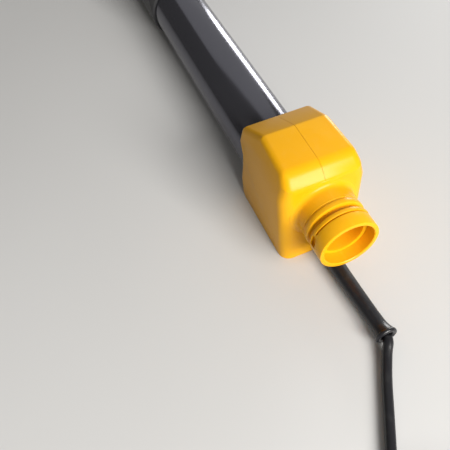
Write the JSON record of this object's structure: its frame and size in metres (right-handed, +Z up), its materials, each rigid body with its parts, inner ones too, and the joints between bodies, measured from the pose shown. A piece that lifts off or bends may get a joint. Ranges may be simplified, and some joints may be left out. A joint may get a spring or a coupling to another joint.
{
  "type": "long-reach drywall sander",
  "caption": "Corded pole sander with a rear hose spout and cable boot, an aluminium dust pole, a switch handle and a gimballed disc head with a brush skirt.",
  "frame": {"origin": "on the floor that the tool lies on, under the middle of its length from the spout's mouth to the front of the brush skirt", "axes": "+Y forward along the pole, from the spout to the sanding head; +Z up; +X to the right"},
  "size_m": [0.2408, 1.4295, 0.1085],
  "materials": {
    "yellow_shell": "satin moulded ABS, fine grain",
    "black_shell": "matt grained glass-filled nylon",
    "rubber_black": "matt soft rubber",
    "cord_rubber": "matt rubber sheath",
    "anodised_tube": "grey anodised, satin, drawn",
    "cast_alloy": "die-cast, fine shot-blasted",
    "steel_parts": "zinc plated",
    "copper_winding": "lacquered copper and laminations",
    "abrasive_disc": "coated abrasive paper",
    "pad_foam": "closed-cell foam",
    "bristle": "nylon bristles"
  },
  "bodies": {
    "pole": {"rear_housing_left": "yellow_shell", "rear_housing_right": "yellow_shell", "housing_screw_1": "steel_parts", "housing_screw_2": "steel_parts", "housing_screw_3": "steel_parts", "dust_duct": "yellow_shell", "duct_seal": "rubber_black", "inner_lead": "cord_rubber", "cord_clamp": "black_shell", "terminal_block": "black_shell", "power_module": "black_shell", "pole_tube": "anodised_tube", "wiring_loom": "cord_rubber", "pole_grip": "rubber_black", "handle_left": "black_shell", "handle_right": "black_shell", "handle_screw_1": "steel_parts", "handle_screw_2": "steel_parts", "trigger_pin": "steel_parts", "switch_module": "black_shell", "trigger_spring": "steel_parts", "speed_control": "black_shell", "yoke": "cast_alloy", "socket_screw": "steel_parts", "pitch_pin_left": "steel_parts", "pitch_pin_right": "steel_parts", "hose_cuff": "rubber_black", "dust_hose": "rubber_black", "cord_boot": "cord_rubber", "power_cord": "cord_rubber", "cord_coil": "cord_rubber", "cord_tail": "cord_rubber", "plug_body": "rubber_black", "plug_pin_left": "steel_parts", "plug_pin_right": "steel_parts"},
    "trigger": {"trigger": "yellow_shell"},
    "lock": {"lock_button": "black_shell"},
    "dial": {"speed_dial": "black_shell"},
    "gimbal": {"gimbal_ring": "cast_alloy", "roll_pin_rear": "steel_parts", "roll_pin_front": "steel_parts"},
    "head": {"motor_housing": "yellow_shell", "motor_cap": "black_shell", "stator": "copper_winding", "lower_bearing": "steel_parts", "upper_bearing": "steel_parts", "dust_shroud": "black_shell", "guide_screw_1": "steel_parts", "guide_screw_2": "steel_parts", "guide_screw_3": "steel_parts", "skirt_spring_1": "steel_parts", "skirt_spring_2": "steel_parts", "skirt_spring_3": "steel_parts"},
    "spindle": {"rotor": "steel_parts", "backing_plate": "black_shell", "clamp_nut": "steel_parts", "foam_pad": "pad_foam", "sanding_disc": "abrasive_disc"},
    "skirt": {"skirt_ring": "black_shell", "brush_strip": "bristle"}
  },
  "joints": [
    {"name": "trigger_press", "type": "hinge", "parent": "pole", "child": "trigger", "pos_m": [0, -0.11, 0.078], "axis": [1, 0, 0], "range_deg": [0, 5], "stiffness_Nm_per_rad": 0.6, "springref_deg": -2.86, "deforming": ["trigger_spring"]},
    {"name": "lock_push", "type": "slide", "parent": "pole", "child": "lock", "axis": [1, 0, 0], "range_m": [0, 0.003], "stiffness_N_per_m": 400, "springref_m": -0.001},
    {"name": "dial_turn", "type": "hinge", "parent": "pole", "child": "dial", "pos_m": [0, -0.07, 0.0745], "axis": [1, 0, 0], "range_deg": [0, 270]},
    {"name": "head_pitch", "type": "hinge", "parent": "pole", "child": "gimbal", "pos_m": [0, 0.4546, 0.066], "axis": [1, 0, 0], "range_deg": [0, 90], "deforming": ["dust_hose"]},
    {"name": "head_roll", "type": "hinge", "parent": "gimbal", "child": "head", "pos_m": [0, 0.4546, 0.066], "axis": [0, 1, 0], "range_deg": [-20, 20]},
    {"name": "disc_spin", "type": "hinge", "parent": "head", "child": "spindle", "pos_m": [0, 0.4546, 0], "axis": [0, 0, 1], "continuous": true},
    {"name": "skirt_float", "type": "slide", "parent": "head", "child": "skirt", "axis": [0, 0, 1], "range_m": [0, 0.003], "stiffness_N_per_m": 600, "springref_m": -0.004, "deforming": ["skirt_spring_1", "skirt_spring_2", "skirt_spring_3"]}
  ]
}
